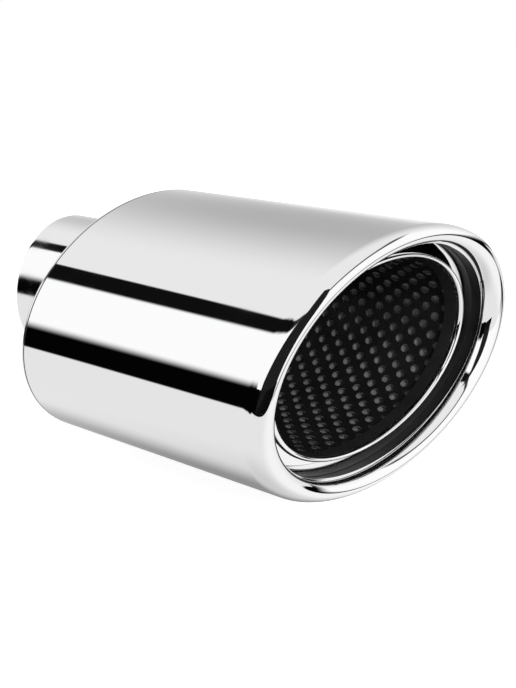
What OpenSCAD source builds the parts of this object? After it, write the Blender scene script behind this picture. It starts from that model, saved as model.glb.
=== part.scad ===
// Bolt-on exhaust tip: an oval polished shell with a rolled, slash-cut lip, a black perforated
// core inside it and a round inlet at the rear.
// The tube runs along Y, mouth towards -Y. The origin is the centre of the inlet's open end.

/* [Shell] */
// Width of the oval shell
body_w = 150; // [120:1:180]
// Height of the oval shell
body_h = 97.4; // [80:1:115]
// Length of the shell from its rear edge to the front of the lip, on the axis
body_l = 114.5; // [90:0.5:160]
// Angle that the mouth is slashed by, to one side
slash_angle = 12.6; // [0:0.1:20]
// Thickness of the shell's sheet
shell_wall = 1.2; // [0.8:0.1:2]

/* [Lip] */
// Radius that the lip is rolled in to, at the widest part of the oval
lip_r = 5.5; // [4:0.1:8]
// Straight hem behind the roll, inside the mouth
hem_l = 1.2; // [0.5:0.1:5]

/* [Throat ring] */
// Thickness of the throat ring's sheet
throat_wall = 1; // [0.6:0.1:1.5]
// Radius of the cove behind the hem
cove_r = 4; // [2:0.1:5]
// Width of the flat ledge between the cove and the bead
ledge_w = 3.9; // [2:0.1:8]
// Radius of the folded bead round the core's front
bead_r = 1.2; // [0.8:0.1:2]

/* [Core] */
// Thickness of the plain collar at the core's front
collar_wall = 0.8; // [0.5:0.1:1.5]
// Length of the plain collar
collar_l = 5; // [3:0.1:12]
// Clearance between the collar and the perforated sheet
collar_gap = 0.15; // [0.1:0.05:0.4]
// Thickness of the perforated sheet
sheet_wall = 1; // [0.6:0.1:1.5]
// Diameter of the holes
hole_d = 3.7; // [2:0.1:3.8]
// Spacing of the holes along the core
hole_pitch = 8.4; // [7:0.1:12]
// Number of holes in one row round the core
holes_round = 36; // [20:1:36]
// Depth of the first row behind the collar's rear edge
first_row = 0.3; // [-1:0.1:4]
// Plain margin of the sheet in front of the rear cap, up to the last holes' centres
rear_margin = 8; // [5:0.5:20]
// Gap between the perforated sheet and the sleeve seen through its holes
backing_gap = 0.8; // [0.3:0.1:1.5]
// Thickness of the backing sleeve
backing_wall = 1; // [0.6:0.1:1.5]

/* [Rear] */
// Bore of the inlet
inlet_bore = 63.5; // [50:0.5:64]
// Thickness of the inlet's wall
inlet_wall = 1.2; // [1:0.1:2]
// Length of the inlet behind the rear cap
inlet_l = 48.8; // [30:0.5:80]
// Length of the inlet that reaches in past the rear cap
inlet_in = 4; // [1:0.5:10]
// Thickness of the rear cap's sheet
cap_wall = 1.5; // [1:0.1:2.5]
// Length of the rear cap's flange inside the shell
cap_flange = 8; // [4:0.5:14]
// Size of the weld bead round the inlet
weld_r = 2.2; // [1:0.1:3]

/* [Hidden] */
$fn = 180;
hole_fn = 24;
far = 400;
eps = 0.01;
quarters = 4;

half_w = body_w / 2;
squash = body_h / body_w;
slant = tan(slash_angle);

// Places along the axis
cap_back = -inlet_l;
shell_back = cap_back - cap_wall;
lip_front = shell_back - body_l;

// Depths behind the lip's front
hem_end = lip_r + hem_l;
cove_start = hem_end + throat_wall / 2;
ledge_front = cove_start + cove_r;
core_front = ledge_front + throat_wall;

// Radii before the oval is squashed
hem_out = half_w - 2 * lip_r + shell_wall;
ledge_out = hem_out - cove_r;
core_r = ledge_out - ledge_w - 2 * bead_r;
collar_out = core_r + collar_wall;
sheet_in = collar_out + collar_gap;
sheet_out = sheet_in + sheet_wall;
backing_in = sheet_out + backing_gap;
backing_out = backing_in + backing_wall;
inlet_od = inlet_bore + 2 * inlet_wall;
punch_l = 4 * sheet_wall;

// Turns a shape that stands on Z to lie along the tube, its top towards the mouth
module along_tube() { rotate([90, 0, 0]) children(); }

// Revolves a profile of radius and depth behind the lip, squashes it and slashes it
module slashed() {
    for (q = [0:quarters - 1])
        multmatrix([[1, 0, 0, 0], [-slant, 1, 0, lip_front], [0, 0, squash, 0], [0, 0, 0, 1]])
            rotate([-90, q * 360 / quarters, 0]) rotate_extrude(angle = 360 / quarters) children();
}

// Revolves a profile of radius and depth in front of a plane square to the axis, and squashes it
module squared(y) {
    for (q = [0:quarters - 1])
        translate([0, y, 0]) scale([1, 1, squash]) rotate([0, q * 360 / quarters, 0])
            along_tube() rotate_extrude(angle = 360 / quarters) children();
}

// A plain slashed band from one depth to another
module slashed_band(r_in, r_out, from, to) {
    slashed() translate([r_in, from]) square([r_out - r_in, to - from]);
}

// Keeps what lies in front of a plane square to the axis
module cut_behind(y) {
    difference() {
        children();
        translate([-far / 2, y, -far / 2]) cube(far);
    }
}

module lip_profile() {
    translate([half_w - lip_r, lip_r]) difference() {
        circle(lip_r);
        circle(lip_r - shell_wall);
        translate([-2 * lip_r, 0]) square([4 * lip_r, 2 * lip_r]);
    }
    translate([half_w - shell_wall, lip_r]) square([shell_wall, body_l + half_w]);
    translate([half_w - 2 * lip_r, lip_r]) square([shell_wall, hem_l]);
}

module outer_shell() {
    color("gainsboro") cut_behind(shell_back) slashed() lip_profile();
}

// Flange round the hem, cove, flat ledge and folded bead, pressed from one sheet
module throat_profile() {
    translate([hem_out, lip_r]) square([throat_wall, cove_start - lip_r]);
    translate([ledge_out, cove_start]) intersection() {
        difference() {
            circle(cove_r + throat_wall);
            circle(cove_r);
        }
        square(cove_r + throat_wall);
    }
    translate([core_r + bead_r, ledge_front]) square([ledge_out - core_r - bead_r, throat_wall]);
    translate([core_r + bead_r, core_front - bead_r]) intersection() {
        circle(bead_r);
        translate([-bead_r, -bead_r]) square([2 * bead_r, bead_r]);
    }
    translate([core_r, core_front - bead_r]) square([2 * bead_r, bead_r]);
}

module throat_ring() { color("silver") slashed() throat_profile(); }

module core_collar() {
    color("black") slashed_band(core_r, collar_out, core_front, core_front + collar_l);
}

// A point of the core's oval at parameter angle t, and how far the oval runs for a degree there
function on_oval(r, t) = [r * cos(t), squash * r * sin(t)];
function speed(t) = sheet_out * sqrt(pow(sin(t), 2) + pow(squash * cos(t), 2)) * PI / 180;
// The way round the oval, added up over n steps
function girth(n, i = 0) = i == n ? 0 : speed((i + 0.5) * 360 / n) * 360 / n + girth(n, i + 1);
// Parameter angles that part the oval into n equal flats, each with one line of holes
function even_angles(n, step) =
    [for (i = 0, t = 0; i < n; t = t + step / speed(t + step / speed(t) / 2), i = i + 1) t];
flats = 2 * holes_round;
flat_angles = even_angles(flats, girth($fn) / flats);

// One hole through the flat between two points of the oval, at a depth behind the lip
module hole(p, q, depth) {
    mid = (p + q) / 2;
    along = q - p;
    translate([mid.x, lip_front + depth - slant * mid.x, mid.y])
        rotate([0, 90 - atan2(-along.x, along.y), 0])
            cylinder(d = hole_d, h = punch_l, center = true, $fn = hole_fn);
}

module perforated_core() {
    outer = [for (t = flat_angles) on_oval(sheet_out, t)];
    inner = [for (t = flat_angles) on_oval(sheet_in, t)];
    color("dimgray") difference() {
        translate([0, shell_back, 0]) along_tube() linear_extrude(body_l + half_w)
            difference() { polygon(outer); polygon(inner); }
        translate([0, lip_front + core_front, 0]) rotate([0, 0, -slash_angle])
            translate([-far / 2, -far, -far / 2]) cube(far);
        for (i = [0:flats - 1]) {
            p = outer[i];
            q = outer[(i + 1) % flats];
            first = core_front + collar_l + first_row + (i % 2) * hole_pitch / 2;
            last = body_l + slant * (p.x + q.x) / 2 - rear_margin;
            for (depth = [first:hole_pitch:last]) hole(p, q, depth);
        }
    }
}

module backing_sleeve() {
    color("gray") cut_behind(shell_back)
        slashed_band(backing_in, backing_out, core_front, body_l + half_w);
}

module rear_cap() {
    color("gainsboro") difference() {
        squared(cap_back) {
            difference() {
                square([half_w, cap_wall]);
                translate([half_w - cap_wall, 0]) square(cap_wall);
            }
            translate([half_w - cap_wall, cap_wall]) intersection() {
                circle(cap_wall);
                translate([0, -cap_wall]) square(cap_wall);
            }
            translate([half_w - shell_wall - cap_wall, 0]) square([cap_wall, cap_wall + cap_flange]);
        }
        translate([0, cap_back + far / 2, 0]) along_tube() cylinder(d = inlet_od, h = far);
    }
}

module inlet_pipe() {
    total = inlet_l + cap_wall + inlet_in;
    color("silver") along_tube() difference() {
        cylinder(d = inlet_od, h = total);
        translate([0, 0, -eps]) cylinder(d = inlet_bore, h = total + 2 * eps);
    }
}

module inlet_weld() {
    color("darkgray") translate([0, cap_back, 0]) rotate([-90, 0, 0]) rotate_extrude()
        translate([inlet_od / 2, 0]) intersection() {
            circle(weld_r);
            square(weld_r);
        }
}

outer_shell();
throat_ring();
core_collar();
perforated_core();
backing_sleeve();
rear_cap();
inlet_pipe();
inlet_weld();
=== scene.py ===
import math

import bmesh
import bpy
from mathutils import Matrix, Vector


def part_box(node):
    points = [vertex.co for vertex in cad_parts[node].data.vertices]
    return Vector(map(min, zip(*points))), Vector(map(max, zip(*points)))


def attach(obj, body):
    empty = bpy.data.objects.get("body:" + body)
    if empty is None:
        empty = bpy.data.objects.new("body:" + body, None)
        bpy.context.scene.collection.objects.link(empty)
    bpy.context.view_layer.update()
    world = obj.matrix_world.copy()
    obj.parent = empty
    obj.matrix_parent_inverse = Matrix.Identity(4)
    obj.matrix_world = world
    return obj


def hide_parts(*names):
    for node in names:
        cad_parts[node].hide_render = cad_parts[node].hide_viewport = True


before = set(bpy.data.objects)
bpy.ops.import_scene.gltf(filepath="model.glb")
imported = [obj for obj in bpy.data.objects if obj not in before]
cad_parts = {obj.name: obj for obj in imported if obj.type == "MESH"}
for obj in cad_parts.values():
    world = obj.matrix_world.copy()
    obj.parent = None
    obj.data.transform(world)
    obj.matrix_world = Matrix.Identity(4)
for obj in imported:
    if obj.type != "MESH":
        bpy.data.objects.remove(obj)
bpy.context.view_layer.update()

# The camera stands beyond the mouth, to its near side and a little above, where the photograph
# was taken from. Its lens fits the frame of 516 x 688 pixels.
camera_azimuth = math.radians(-58.18)
camera_elevation = math.radians(22.69)
photo_camera = bpy.data.objects.new("photo_camera", bpy.data.cameras.new("photo_camera"))
photo_camera.data.sensor_width = 36
photo_camera.data.lens = 39.743
photo_camera.data.clip_start = 0.01
photo_camera.location = (-0.24063, -0.25127, 0.11169)
photo_camera.rotation_euler = (math.pi / 2 - camera_elevation, 0, camera_azimuth)
bpy.context.scene.collection.objects.link(photo_camera)
bpy.context.scene.camera = photo_camera
bpy.context.scene.view_settings.view_transform = "Standard"


# The outer shell is one stainless tube, drawn to an oval and cut on the slant at the mouth.
# Its front edge is rolled in on itself to a full half-round and ends in a short hem, and the
# whole outside is buffed to a mirror.
lowest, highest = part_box("outer_shell")
half_width = highest.x
squash = highest.z / highest.x
slant = math.tan(math.radians(12.6))
body_length = 0.1145
shell_back = highest.y
lip_front = shell_back - body_length
lip_radius = 0.0055
shell_wall = 0.0012
hem_length = 0.0012
hem_radius = half_width - 2 * lip_radius
hem_end = lip_radius + hem_length
edge_round = 0.00025
steps_round = 384
roll_steps = 96
inner_roll_steps = 20
fold_steps = 3
join_within = 1e-7
wall_stations = (0.090, 0.070, 0.050, 0.034, 0.022, 0.014, 0.009, 0.0068, 0.0059)
steel_tone = (0.88, 0.88, 0.885)
buffing_stretch = (25, 2600, 25)
slash = Matrix(((1, 0, 0, 0), (-slant, 1, 0, lip_front), (0, 0, squash, 0), (0, 0, 0, 1)))


def start_profile(radius, depth):
    """A new outline and its first point, at a radius from the axis and a depth."""
    outline = bmesh.new()
    return outline, outline.verts.new((radius, depth, 0))


def line_to(outline, tip, radius, depth):
    """Draws the outline straight on to another radius and depth."""
    tip = bmesh.ops.extrude_vert_indiv(outline, verts=[tip])["verts"][0]
    tip.co = (radius, depth, 0)
    return tip


def arc_about(outline, tip, radius, depth, turn, steps):
    """Carries the outline round a centre, by an angle in degrees."""
    drawn = bmesh.ops.spin(outline, geom=[tip], cent=(radius, depth, 0), axis=(0, 0, 1),
                           angle=math.radians(turn), steps=steps)
    return [part for part in drawn["geom_last"] if isinstance(part, bmesh.types.BMVert)][0]


def revolve(outline, steps):
    """Spins a closed outline round the tube's axis, to a closed ring."""
    bmesh.ops.remove_doubles(outline, verts=outline.verts, dist=join_within)
    bmesh.ops.spin(outline, geom=outline.verts[:] + outline.edges[:], cent=(0, 0, 0),
                   axis=(0, 1, 0), angle=math.tau, steps=steps, use_merge=True)
    bmesh.ops.remove_doubles(outline, verts=outline.verts, dist=join_within)


def make_piece(name, metal_mesh, sharp_angle=50):
    """The object of a finished mesh, smooth but for its true edges, riding on the tip."""
    bmesh.ops.recalc_face_normals(metal_mesh, faces=metal_mesh.faces)
    mesh = bpy.data.meshes.new(name)
    metal_mesh.to_mesh(mesh)
    metal_mesh.free()
    mesh.shade_smooth()
    mesh.set_sharp_from_angle(angle=math.radians(sharp_angle))
    piece = bpy.data.objects.new(name, mesh)
    bpy.context.scene.collection.objects.link(piece)
    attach(piece, "root")
    return piece


def add_node(tree, kind, *sources, output=0, **settings):
    """Adds a shader node fed from sockets or plain values, in the order of its inputs."""
    made = tree.nodes.new(kind)
    for name, value in settings.items():
        setattr(made, name, value)
    for socket, source in zip(made.inputs, sources):
        if isinstance(source, bpy.types.NodeSocket):
            tree.links.new(source, socket)
        elif source is not None:
            socket.default_value = source
    return None if output is None else made.outputs[output]


def polish_marks():
    """What buffing leaves on a mirror finish: faint rings, a soft haze and a slight ripple."""
    group = bpy.data.node_groups.new("polish_marks", "ShaderNodeTree")
    for name, kind, value in (("Vector", "NodeSocketVector", (0, 0, 0)),
                              ("Rings", "NodeSocketFloat", 1.0), ("Haze", "NodeSocketFloat", 0.03)):
        group.interface.new_socket(name, in_out="INPUT", socket_type=kind).default_value = value
    for name, kind in (("Roughness", "NodeSocketFloat"), ("Height", "NodeSocketFloat")):
        group.interface.new_socket(name, in_out="OUTPUT", socket_type=kind)
    given = group.nodes.new("NodeGroupInput")
    put_out = group.nodes.new("NodeGroupOutput")
    rings = add_node(group, "ShaderNodeVectorMath", given.outputs["Vector"], buffing_stretch,
                     operation="MULTIPLY")
    rings = add_node(group, "ShaderNodeTexNoise", rings, None, 1, 2, 0.5)
    ripple = add_node(group, "ShaderNodeTexNoise", given.outputs["Vector"], None, 26, 1, 0.4)
    haze = add_node(group, "ShaderNodeTexNoise", given.outputs["Vector"], None, 55, 4, 0.65)
    haze = add_node(group, "ShaderNodeMapRange", haze, 0.35, 0.75, 0.4, 1.8)
    haze = add_node(group, "ShaderNodeMath", haze, given.outputs["Haze"], operation="MULTIPLY")
    fine = add_node(group, "ShaderNodeMath", rings, given.outputs["Rings"], operation="MULTIPLY")
    fine = add_node(group, "ShaderNodeMath", fine, 0.012, operation="MULTIPLY")
    relief = add_node(group, "ShaderNodeMath", ripple, fine, operation="ADD")
    group.links.new(haze, put_out.inputs["Roughness"])
    group.links.new(relief, put_out.inputs["Height"])
    return group


def mirror_steel(name, rings, haze):
    """Stainless steel buffed to a mirror."""
    steel = bpy.data.materials.new(name)
    steel.use_nodes = True
    tree = steel.node_tree
    surface = tree.nodes["Principled BSDF"]
    surface.inputs["Base Color"].default_value = (*steel_tone, 1)
    surface.inputs["Metallic"].default_value = 1
    marks = tree.nodes.new("ShaderNodeGroup")
    marks.node_tree = buffing
    tree.links.new(add_node(tree, "ShaderNodeTexCoord", output="Object"), marks.inputs["Vector"])
    marks.inputs["Rings"].default_value = rings
    marks.inputs["Haze"].default_value = haze
    bump = tree.nodes.new("ShaderNodeBump")
    bump.inputs["Distance"].default_value = 0.000005
    tree.links.new(marks.outputs["Height"], bump.inputs["Height"])
    tree.links.new(marks.outputs["Roughness"], surface.inputs["Roughness"])
    tree.links.new(bump.outputs["Normal"], surface.inputs["Normal"])
    return steel


buffing = polish_marks()


def grey_from(tree, shade):
    """A grey with one value in its three channels."""
    grey = tree.nodes.new("ShaderNodeCombineColor")
    for channel in grey.inputs:
        tree.links.new(shade, channel)
    return grey.outputs[0]


shell, pen = start_profile(half_width, body_length - edge_round)
for depth in (body_length - 2 * edge_round, *wall_stations, lip_radius):
    pen = line_to(shell, pen, half_width, depth)
pen = arc_about(shell, pen, half_width - lip_radius, lip_radius, -180, roll_steps)
pen = line_to(shell, pen, hem_radius, hem_end - edge_round)
pen = arc_about(shell, pen, hem_radius + edge_round, hem_end - edge_round, -90, fold_steps)
pen = line_to(shell, pen, hem_radius + shell_wall - edge_round, hem_end)
pen = arc_about(shell, pen, hem_radius + shell_wall - edge_round, hem_end - edge_round, -90, fold_steps)
pen = line_to(shell, pen, hem_radius + shell_wall, lip_radius)
pen = arc_about(shell, pen, half_width - lip_radius, lip_radius, 180, inner_roll_steps)
pen = line_to(shell, pen, half_width - shell_wall, body_length - edge_round)
pen = arc_about(shell, pen, half_width - shell_wall + edge_round, body_length - edge_round, -90, fold_steps)
pen = line_to(shell, pen, half_width - edge_round, body_length)
pen = arc_about(shell, pen, half_width - edge_round, body_length - edge_round, -90, fold_steps)
revolve(shell, steps_round)
rear_rim = {vert: vert.co.y - body_length for vert in shell.verts
            if vert.co.y > body_length - 3 * edge_round}
# The rear rim's faces take the second material, the dark grey painted shade of the seam.
for face in shell.faces:
    if all(vert in rear_rim for vert in face.verts):
        face.material_index = 1
bmesh.ops.transform(shell, matrix=slash, verts=shell.verts)
for vert, depth in rear_rim.items():
    vert.co.y = shell_back + depth
polished_shell = make_piece("polished_shell", shell)
polished_shell.data.materials.append(mirror_steel("polished_shell_steel", 1.0, 0.03))

# The shell's rear edge, next to the cap, is painted a dark matt grey: painted shade for the
# shadow gap of the seam with the cap.
rear_edge_shade = bpy.data.materials.new("rear_edge_painted_shade")
rear_edge_shade.use_nodes = True
tree = rear_edge_shade.node_tree
surface = tree.nodes["Principled BSDF"]
place = add_node(tree, "ShaderNodeTexCoord", output="Object")
shade_mottle = add_node(tree, "ShaderNodeTexNoise", place, None, 900, 2, 0.6)
shade = add_node(tree, "ShaderNodeMapRange", shade_mottle, 0.3, 0.7, 0.06, 0.13)
rough = add_node(tree, "ShaderNodeMapRange", shade_mottle, 0.3, 0.7, 0.3, 0.5)
tree.links.new(grey_from(tree, shade), surface.inputs["Base Color"])
tree.links.new(rough, surface.inputs["Roughness"])
surface.inputs["Metallic"].default_value = 1
polished_shell.data.materials.append(rear_edge_shade)
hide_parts("outer_shell")


# The throat ring is one pressed stainless ring behind the hem: a straight wall that the hem is
# closed over, a flat ledge and an edge folded to a bead round the core's front. The ledge and
# the bead are polished as the shell is. The wall is painted the core's satin black: painted
# shade for the dark recess behind the hem.
throat_wall = 0.001
corner_radius = 0.0004
core_radius = 0.0549
bead_radius = 0.0012
core_front = 0.0122
ledge_front = core_front - throat_wall
throat_radius = hem_radius + shell_wall
ledge_edge = throat_radius - corner_radius
bead_middle = core_radius + bead_radius
bead_foot = core_radius + 2 * bead_radius
corner_steps = 10
bead_steps = 28
throat_stations = (0.0072, 0.0088)
ledge_stations = (0.0622, 0.0604, 0.0588)

ring, pen = start_profile(throat_radius, lip_radius + edge_round)
for depth in (*throat_stations, ledge_front - corner_radius):
    pen = line_to(ring, pen, throat_radius, depth)
pen = arc_about(ring, pen, ledge_edge, ledge_front - corner_radius, 90, corner_steps)
for radius in (*ledge_stations, bead_foot):
    pen = line_to(ring, pen, radius, ledge_front)
pen = line_to(ring, pen, bead_foot, core_front - bead_radius)
pen = arc_about(ring, pen, bead_middle, core_front - bead_radius, -180, bead_steps)
pen = line_to(ring, pen, core_radius, core_front - edge_round)
pen = arc_about(ring, pen, core_radius + edge_round, core_front - edge_round, -90, fold_steps)
pen = line_to(ring, pen, ledge_edge, core_front)
pen = arc_about(ring, pen, ledge_edge, ledge_front - corner_radius, -90, corner_steps)
pen = line_to(ring, pen, throat_radius + throat_wall, lip_radius + edge_round)
pen = arc_about(ring, pen, throat_radius + throat_wall - edge_round, lip_radius + edge_round, -90, fold_steps)
pen = line_to(ring, pen, throat_radius + edge_round, lip_radius)
pen = arc_about(ring, pen, throat_radius + edge_round, lip_radius + edge_round, -90, fold_steps)
revolve(ring, steps_round)
# The wall's faces take the second material, the black painted shade of the recess.
for face in ring.faces:
    if face.calc_center_median().xz.length > ledge_edge:
        face.material_index = 1
bmesh.ops.transform(ring, matrix=slash, verts=ring.verts)
polished_throat = make_piece("polished_throat", ring)
polished_throat.data.materials.append(mirror_steel("polished_throat_steel", 1.0, 0.04))
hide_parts("throat_ring")


# The rear cap closes the shell behind the core. It is a pressed oval disc with a rounded rim,
# a flange that slides inside the shell and a round hole for the inlet.
cap_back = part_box("rear_cap")[1].y
cap_wall = cap_back - shell_back
cap_flange = 0.008
inlet_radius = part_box("inlet_pipe")[1].x
squeeze = Matrix.Diagonal((1, 1, squash, 1))
rim_steps = 10
on_plate = 1e-6

cap, pen = start_profile(half_width - cap_wall, cap_back)
pen = arc_about(cap, pen, half_width - cap_wall, cap_back - cap_wall, -90, rim_steps)
pen = line_to(cap, pen, half_width - shell_wall, shell_back)
pen = line_to(cap, pen, half_width - shell_wall, shell_back - cap_flange)
pen = line_to(cap, pen, half_width - shell_wall - cap_wall, shell_back - cap_flange)
pen = line_to(cap, pen, half_width - shell_wall - cap_wall, shell_back)
revolve(cap, steps_round)
bmesh.ops.transform(cap, matrix=squeeze, verts=cap.verts)
hole_edges = []
for plate_y in (shell_back, cap_back):
    rim = [edge for edge in cap.edges
           if edge.is_boundary and all(abs(vert.co.y - plate_y) < on_plate for vert in edge.verts)]
    plate = bmesh.ops.extrude_edge_only(cap, edges=rim)["geom"]
    for vert in (part for part in plate if isinstance(part, bmesh.types.BMVert)):
        way_round = math.atan2(vert.co.z / squash, vert.co.x)
        vert.co = (inlet_radius * math.cos(way_round), plate_y, inlet_radius * math.sin(way_round))
    hole_edges += [part for part in plate if isinstance(part, bmesh.types.BMEdge) and part.is_boundary]
inner_rim = [edge for edge in hole_edges if abs(edge.verts[0].co.y - shell_back) < on_plate]
hole_wall = bmesh.ops.extrude_edge_only(cap, edges=inner_rim)
bmesh.ops.translate(cap, vec=(0, cap_wall, 0),
                    verts=[part for part in hole_wall["geom"] if isinstance(part, bmesh.types.BMVert)])
bmesh.ops.remove_doubles(cap, verts=cap.verts, dist=join_within)
polished_cap = make_piece("polished_cap", cap)
polished_cap.data.materials.append(mirror_steel("polished_cap_steel", 1.0, 0.05))
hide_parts("rear_cap")


# The inlet is a plain round stainless tube with deburred ends. It passes through the cap, is
# welded there, and slips over the car's exhaust pipe.
inlet_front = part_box("inlet_pipe")[0].y
inlet_wall = 0.0012
pipe_steps = 256
pipe_stations = (-0.0015, -0.012, -0.024, -0.036, -0.046)

pipe, pen = start_profile(inlet_radius, -edge_round)
for station in pipe_stations:
    pen = line_to(pipe, pen, inlet_radius, station)
pen = line_to(pipe, pen, inlet_radius, inlet_front + edge_round)
pen = arc_about(pipe, pen, inlet_radius - edge_round, inlet_front + edge_round, -90, fold_steps)
pen = line_to(pipe, pen, inlet_radius - inlet_wall + edge_round, inlet_front)
pen = arc_about(pipe, pen, inlet_radius - inlet_wall + edge_round, inlet_front + edge_round, -90, fold_steps)
pen = line_to(pipe, pen, inlet_radius - inlet_wall, -edge_round)
pen = arc_about(pipe, pen, inlet_radius - inlet_wall + edge_round, -edge_round, -90, fold_steps)
pen = line_to(pipe, pen, inlet_radius - edge_round, 0)
pen = arc_about(pipe, pen, inlet_radius - edge_round, -edge_round, -90, fold_steps)
revolve(pipe, pipe_steps)
polished_inlet = make_piece("polished_inlet", pipe)
polished_inlet.data.materials.append(mirror_steel("polished_inlet_steel", 1.5, 0.11))
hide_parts("inlet_pipe")


# The weld bead joins the inlet to the cap. It is laid by hand all round in one pass, so it has
# the small even ripples of the filler rod, and is left as welded.
weld_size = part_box("inlet_weld")[1].x - inlet_radius
ripples = 84
ripple_depth = 0.00022
ripple_steps = 6
ripple_bow = 2.2
bead_bite = 0.0001

weld, pen = start_profile(inlet_radius - bead_bite, cap_back - bead_bite)
pen = line_to(weld, pen, inlet_radius - bead_bite, cap_back + weld_size)
pen = line_to(weld, pen, inlet_radius, cap_back + weld_size)
pen = arc_about(weld, pen, inlet_radius, cap_back, -90, rim_steps)
pen = line_to(weld, pen, inlet_radius + weld_size, cap_back - bead_bite)
pen = line_to(weld, pen, inlet_radius - bead_bite, cap_back - bead_bite)
revolve(weld, ripples * ripple_steps)
for vert in weld.verts:
    radius = math.hypot(vert.co.x, vert.co.z)
    swell = math.hypot(radius - inlet_radius, vert.co.y - cap_back) / weld_size
    if swell > 0.9:
        way_round = math.atan2(vert.co.z, vert.co.x)
        lean = (vert.co.y - cap_back) / weld_size
        dip = ripple_depth * (0.5 + 0.5 * math.cos(ripples * way_round + ripple_bow * lean * lean)) ** 2
        slack = ripple_depth * 0.5 * (1 + math.sin(3 * way_round + 1) * math.sin(7 * way_round))
        shrink = (dip + slack) * min(1, 4 * lean, 4 * (1 - lean))
        vert.co.x -= shrink * vert.co.x / radius
        vert.co.z -= shrink * vert.co.z / radius
        vert.co.y -= shrink
weld_bead = make_piece("weld_bead", weld, 70)
weld_steel = bpy.data.materials.new("weld_steel")
weld_steel.use_nodes = True
tree = weld_steel.node_tree
surface = tree.nodes["Principled BSDF"]
place = add_node(tree, "ShaderNodeTexCoord", output="Object")
mottle = add_node(tree, "ShaderNodeTexNoise", place, None, 320, 3, 0.6)
tint = tree.nodes.new("ShaderNodeValToRGB")
tint.color_ramp.elements[0].color = (0.26, 0.22, 0.19, 1)
tint.color_ramp.elements[0].position = 0.3
tint.color_ramp.elements[1].color = (0.62, 0.58, 0.52, 1)
tint.color_ramp.elements[1].position = 0.7
tree.links.new(mottle, tint.inputs["Fac"])
tree.links.new(tint.outputs["Color"], surface.inputs["Base Color"])
surface.inputs["Metallic"].default_value = 1
rough = add_node(tree, "ShaderNodeMapRange", mottle, 0.3, 0.7, 0.22, 0.42)
tree.links.new(rough, surface.inputs["Roughness"])
weld_bead.data.materials.append(weld_steel)
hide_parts("inlet_weld")


# The core is a sheet of steel punched with staggered round holes, rolled to the inner oval and
# coated satin black. The walls of the punched holes are light grey metal. The plain collar that
# holds its front edge has the same coat; the throat ring's wall has it too, as painted shade.
punched_grey = 0.006
collar_grey = 0.01
# The throat wall's black is painted shade for the recess behind the hem.
throat_shade_grey = 0.005
cut_edge_grey = 0.5
cut_edge_rough = 0.4


def black_coat(name, coat_grey, grey_hole_walls):
    """Satin black coating with a fine orange peel, and light grey metal on the walls of punched holes."""
    coat = bpy.data.materials.new(name)
    coat.use_nodes = True
    tree = coat.node_tree
    surface = tree.nodes["Principled BSDF"]
    place = add_node(tree, "ShaderNodeTexCoord", output="Object")
    peel = add_node(tree, "ShaderNodeTexNoise", place, None, 1400, 2, 0.5)
    cloud = add_node(tree, "ShaderNodeTexNoise", place, None, 60, 3, 0.6)
    shade = add_node(tree, "ShaderNodeMapRange", cloud, 0.3, 0.7, 0.8 * coat_grey, 1.25 * coat_grey)
    rough = add_node(tree, "ShaderNodeMapRange", cloud, 0.3, 0.7, 0.34, 0.46)
    metal = None
    surface.inputs["Specular IOR Level"].default_value = 0.15
    if grey_hole_walls:
        outward = add_node(tree, "ShaderNodeVectorMath", place, (1, 0, 1 / squash ** 2),
                           operation="MULTIPLY")
        outward = add_node(tree, "ShaderNodeVectorMath", outward, operation="NORMALIZE")
        facing = add_node(tree, "ShaderNodeNewGeometry", output="True Normal")
        across = add_node(tree, "ShaderNodeVectorMath", outward, facing, operation="DOT_PRODUCT",
                          output="Value")
        across = add_node(tree, "ShaderNodeMath", across, operation="ABSOLUTE")
        cut = add_node(tree, "ShaderNodeMapRange", across, 0.55, 0.45, 0, 1)
        shade = add_node(tree, "ShaderNodeMix", cut, None, shade, cut_edge_grey)
        rough = add_node(tree, "ShaderNodeMix", cut, None, rough, cut_edge_rough)
        metal = cut
    tree.links.new(grey_from(tree, shade), surface.inputs["Base Color"])
    tree.links.new(rough, surface.inputs["Roughness"])
    if metal:
        tree.links.new(metal, surface.inputs["Metallic"])
    bump = tree.nodes.new("ShaderNodeBump")
    bump.inputs["Distance"].default_value = 0.00001
    tree.links.new(peel, bump.inputs["Height"])
    tree.links.new(bump.outputs["Normal"], surface.inputs["Normal"])
    return coat


def dress_node(node, material):
    """Gives a CAD node its real finish."""
    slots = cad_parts[node].data.materials
    slots.clear()
    slots.append(material)


dress_node("perforated_core", black_coat("punched_black_coat", punched_grey, True))
dress_node("core_collar", black_coat("plain_black_coat", collar_grey, False))
# The throat ring's wall gets the black coat as painted shade for the recess behind the hem.
polished_throat.data.materials.append(black_coat("throat_wall_painted_shade", throat_shade_grey, False))


# The backing sleeve is a plain rolled oval of satin steel that stands behind the core, from the
# throat ring to the cap. It shows grey through the holes.
rolling_stretch = (60, 1500, 60)
sleeve_steel = bpy.data.materials.new("sleeve_steel")
sleeve_steel.use_nodes = True
tree = sleeve_steel.node_tree
surface = tree.nodes["Principled BSDF"]
place = add_node(tree, "ShaderNodeTexCoord", output="Object")
rolled = add_node(tree, "ShaderNodeVectorMath", place, rolling_stretch, operation="MULTIPLY")
grain = add_node(tree, "ShaderNodeTexNoise", rolled, None, 1, 3, 0.6)
shade = add_node(tree, "ShaderNodeMapRange", grain, 0.3, 0.7, 0.09, 0.17)
rough = add_node(tree, "ShaderNodeMapRange", grain, 0.3, 0.7, 0.38, 0.52)
tree.links.new(grey_from(tree, shade), surface.inputs["Base Color"])
tree.links.new(rough, surface.inputs["Roughness"])
surface.inputs["Metallic"].default_value = 0.1
dress_node("backing_sleeve", sleeve_steel)


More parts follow.
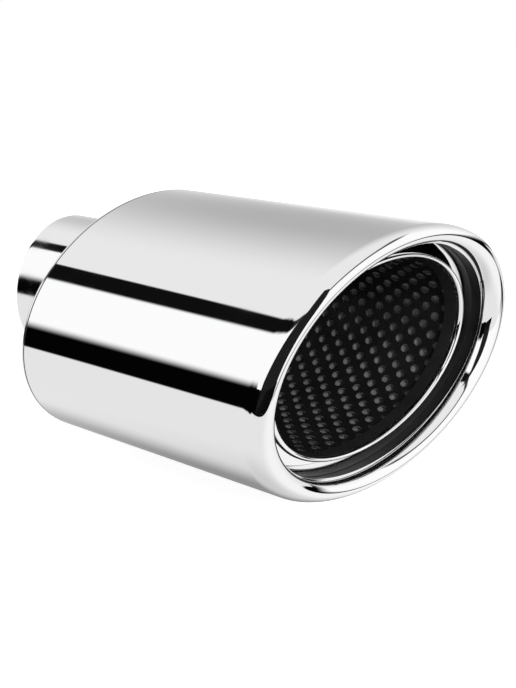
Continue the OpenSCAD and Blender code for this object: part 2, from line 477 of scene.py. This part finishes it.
# The floor is a pale sheet of paper under the tip. It shows white to the camera and keeps the
# tip's shadow.
floor_height = lowest.z
floor_half = 6
paper_lift = 0.55
paper_tone = (0.82, 0.82, 0.82, 1)
sweep = bmesh.new()
bmesh.ops.create_grid(sweep, x_segments=1, y_segments=1, size=floor_half,
                      matrix=Matrix.Translation((0, 0, floor_height)))
floor_mesh = bpy.data.meshes.new("floor")
sweep.to_mesh(floor_mesh)
sweep.free()
floor = bpy.data.objects.new("floor", floor_mesh)
bpy.context.scene.collection.objects.link(floor)
floor.visible_glossy = False
paper = bpy.data.materials.new("floor_paper")
paper.use_nodes = True
tree = paper.node_tree
tree.nodes.clear()
seen = tree.nodes.new("ShaderNodeLightPath")
shown = seen.outputs["Is Camera Ray"]
for other_ray in ("Is Glossy Ray", "Is Transmission Ray"):
    shown = add_node(tree, "ShaderNodeMath", shown, seen.outputs[other_ray], operation="MAXIMUM")
lift = add_node(tree, "ShaderNodeMath", shown, paper_lift, operation="MULTIPLY")
matt = add_node(tree, "ShaderNodeBsdfDiffuse", paper_tone)
glow = add_node(tree, "ShaderNodeEmission", (1, 1, 1, 1), lift)
both = add_node(tree, "ShaderNodeAddShader", matt, glow)
add_node(tree, "ShaderNodeOutputMaterial", both, output=None)
floor_mesh.materials.append(paper)


# Two flags of cloth stand on the floor close to the mouth, in one plane: a wide black one that
# is cut on the slant, and a tall dark grey one. They show in reflections only.
flag_y = -0.3
black_flag_corners = ((-0.03, floor_height), (-0.66, floor_height), (-0.66, 0.193), (-0.03, -0.031))
grey_flag_corners = ((-0.05, floor_height), (-0.3, floor_height), (-0.26, 0.08), (-0.13, 0.19),
                     (-0.075, 0.185), (-0.028, 0.28), (-0.018, 0.18), (-0.018, 0.05), (-0.03, 0))
black_cloth = 0.001
grey_cloth = 0.015


def stand_flag(name, corners, level):
    """A flat card in front of the mouth, from its corners' places across and up."""
    card = bmesh.new()
    card.faces.new([card.verts.new((across, flag_y, up)) for across, up in corners])
    flag_mesh = bpy.data.meshes.new(name)
    card.to_mesh(flag_mesh)
    card.free()
    flag = bpy.data.objects.new(name, flag_mesh)
    bpy.context.scene.collection.objects.link(flag)
    flag.visible_camera = flag.visible_diffuse = flag.visible_shadow = False
    cloth = bpy.data.materials.new(name)
    cloth.use_nodes = True
    cloth.node_tree.nodes.clear()
    dark = add_node(cloth.node_tree, "ShaderNodeEmission", (1, 1, 1, 1), level)
    add_node(cloth.node_tree, "ShaderNodeOutputMaterial", dark, output=None)
    flag_mesh.materials.append(cloth)


stand_flag("black_flag", black_flag_corners, black_cloth)
stand_flag("grey_flag", grey_flag_corners, grey_cloth)


# The studio is a light tent. A black gap runs round it above the table, widest at the tip's near
# side, and a second one parts the side wall from the roof. Heights and turns are in degrees, the
# turn going from the inlet's end by the near side.
tent_white = 0.916
side_wall_white = 1.1
table_white = 0.88
gap_black = 0.001
slit_black = 0.005
slit_grey = 0.05
roof_dusk, roof_dusk_grey = (299, 20.7, 3, 43), 0.49
mouth_glow, mouth_glow_white = (210, -35, 10, 45), 1.02
tip_shade, tip_shade_grey = (0, -90, 8, 48), 0.68
table_end, table_end_grey = (308, -50, 6, 40), 0.3
end_wall, end_wall_white = (290, -12, 4, 20), 0.96
studio = bpy.data.worlds.new("studio")
studio.use_nodes = True
tree = studio.node_tree
tree.nodes.clear()
bpy.context.scene.world = studio
ray = add_node(tree, "ShaderNodeTexCoord", output="Generated")
ray = add_node(tree, "ShaderNodeVectorMath", ray, operation="NORMALIZE")
parts = tree.nodes.new("ShaderNodeSeparateXYZ")
tree.links.new(ray, parts.inputs[0])
away = add_node(tree, "ShaderNodeMath", parts.outputs["X"], -1, operation="MULTIPLY")
turn = add_node(tree, "ShaderNodeMath", away, parts.outputs["Y"], operation="ARCTAN2")
turn = add_node(tree, "ShaderNodeMath", turn, math.tau, operation="FLOORED_MODULO")
turn = add_node(tree, "ShaderNodeMath", turn, math.tau, operation="DIVIDE")
height = add_node(tree, "ShaderNodeMath", parts.outputs["Z"], operation="ARCSINE")
height = add_node(tree, "ShaderNodeMath", height, 180 / math.pi, operation="MULTIPLY")


def tent_edge(heights):
    """The height of an edge of the tent's cloth, all round, from its height at some turns."""
    curve = tree.nodes.new("ShaderNodeFloatCurve")
    points = curve.mapping.curves[0].points
    corners = [(at / 360, up / 180 + 0.5) for at, up in heights.items()]
    points[0].location, points[1].location = corners[0], corners[-1]
    for corner in corners[1:-1]:
        points.new(*corner)
    for point in points:
        point.handle_type = "AUTO_CLAMPED"
    curve.mapping.update()
    tree.links.new(turn, curve.inputs["Value"])
    up = add_node(tree, "ShaderNodeMath", curve.outputs[0], 0.5, operation="SUBTRACT")
    return add_node(tree, "ShaderNodeMath", up, 180, operation="MULTIPLY")


def step_over(value, edge, softness):
    """0 below an edge and 1 above it, over a soft width in degrees."""
    over = add_node(tree, "ShaderNodeMath", value, edge, operation="SUBTRACT")
    return add_node(tree, "ShaderNodeMapRange", over, -softness / 2, softness / 2, 0, 1,
                    interpolation_type="SMOOTHSTEP")


def between(lower, upper, lower_soft, upper_soft):
    """1 between two edges of the tent."""
    above = step_over(height, lower, lower_soft)
    below = step_over(height, upper, upper_soft)
    below = add_node(tree, "ShaderNodeMath", 1, below, operation="SUBTRACT")
    return add_node(tree, "ShaderNodeMath", above, below, operation="MULTIPLY")


def patch(at, up, core, rim):
    """A round patch of the tent, full to one angle from its middle and gone at another."""
    at, up = math.radians(at), math.radians(up)
    middle = (-math.sin(at) * math.cos(up), math.cos(at) * math.cos(up), math.sin(up))
    near = add_node(tree, "ShaderNodeVectorMath", ray, middle, operation="DOT_PRODUCT", output="Value")
    near = add_node(tree, "ShaderNodeMath", near, operation="ARCCOSINE")
    return add_node(tree, "ShaderNodeMapRange", near, math.radians(rim), math.radians(core), 0, 1,
                    interpolation_type="SMOOTHSTEP")


def lit(level, mask, strength):
    """The tent's level with one more part of it at its own strength."""
    return add_node(tree, "ShaderNodeMix", mask, None, level, strength)


gap_floor = tent_edge({
    0: -4, 30: -5, 50: -3, 75: -3.5, 90: -5, 105: -8, 114: -2, 120: 2, 190: -20, 200: -23, 212: -24,
    222: -21.5, 230: -16.5, 240: -9, 250: -2, 260: -4, 270: -6, 285: -4, 290: -6, 360: -4})
gap_wall = tent_edge({
    0: 4, 20: 8, 32: 12.5, 40: 16, 50: 19, 60: 21, 75: 23, 90: 22, 105: 19, 114: 0, 120: -2,
    190: -22, 200: -21.5, 212: -20, 222: -13, 230: -6, 240: 1, 250: 3, 260: 0, 270: -2, 285: -3,
    290: -8, 360: 4})
slit_wall = tent_edge({
    0: 20, 10: 34, 20: 46, 32: 55.1, 38: 58, 44: 59.6, 49: 60.9, 55: 62, 62: 62.9, 68: 63.5, 81: 63.7,
    88: 63.6, 95: 63.1, 101: 62.5, 107: 61.6, 113: 60.5, 118: 59.2, 123: 57.7, 127: 56.1, 140: 51,
    160: 44, 180: 35, 200: 36, 220: 38, 240: 38, 260: 34, 360: 20})
slit_roof = tent_edge({
    0: 38, 10: 56, 15: 60.6, 20: 63.6, 25: 66.2, 30: 67.8, 40: 70.6, 50: 72.5, 60: 73.6, 72: 74.2,
    90: 74.1, 100: 73.4, 110: 72.3, 120: 70.3, 130: 66.7, 140: 62, 160: 52, 180: 41.5, 200: 43,
    220: 44.5, 240: 44, 260: 36, 280: 20, 360: 38})
turn_degrees = add_node(tree, "ShaderNodeMath", turn, 360, operation="MULTIPLY")
wall_starts = step_over(turn_degrees, 10, 20)
wall_stops = step_over(turn_degrees, 250, 25)
side_wall = add_node(tree, "ShaderNodeMath", wall_starts, wall_stops, operation="SUBTRACT")
above_slit = step_over(height, slit_roof, 2)
side_wall = add_node(tree, "ShaderNodeMath", side_wall, above_slit, operation="SUBTRACT", use_clamp=True)
table = add_node(tree, "ShaderNodeMath", 1, step_over(height, gap_floor, 3), operation="SUBTRACT")
dark_slit = between(slit_wall, slit_roof, 3.5, 3)
slit_end = step_over(turn_degrees, 150, 30)
slit_gone = step_over(turn_degrees, 250, 20)

light = lit(tent_white, side_wall, side_wall_white)
light = lit(light, patch(*roof_dusk), roof_dusk_grey)
light = lit(light, table, table_white)
light = lit(light, patch(*mouth_glow), mouth_glow_white)
light = lit(light, patch(*tip_shade), tip_shade_grey)
light = lit(light, patch(*table_end), table_end_grey)
light = lit(light, patch(*end_wall), end_wall_white)
slit_level = lit(slit_black, slit_end, slit_grey)
slit_mask = add_node(tree, "ShaderNodeMath", dark_slit, slit_gone, operation="SUBTRACT", use_clamp=True)
light = lit(light, slit_mask, slit_level)
light = lit(light, between(gap_floor, gap_wall, 2, 8), gap_black)
seen = tree.nodes.new("ShaderNodeLightPath")
light = lit(light, seen.outputs["Is Camera Ray"], 1)
sky = add_node(tree, "ShaderNodeBackground", (1, 1, 1, 1), light)
add_node(tree, "ShaderNodeOutputWorld", sky, output=None)


# One lamp shines into the mouth from in front of it, from the near side and above, so that the
# metal seen through the core's holes has a lit side.
lamp_size = 0.15
lamp_watts = 9
core_middle = Vector((0, -0.11, -0.01))
front_lamp = bpy.data.objects.new("front_lamp", bpy.data.lights.new("front_lamp", "AREA"))
front_lamp.data.size = lamp_size
front_lamp.data.energy = lamp_watts
front_lamp.location = (-0.24, -0.85, 0.4)
lamp_aim = front_lamp.location - core_middle
front_lamp.rotation_euler = lamp_aim.to_track_quat("Z", "Y").to_euler()
front_lamp.visible_glossy = False
bpy.context.scene.collection.objects.link(front_lamp)
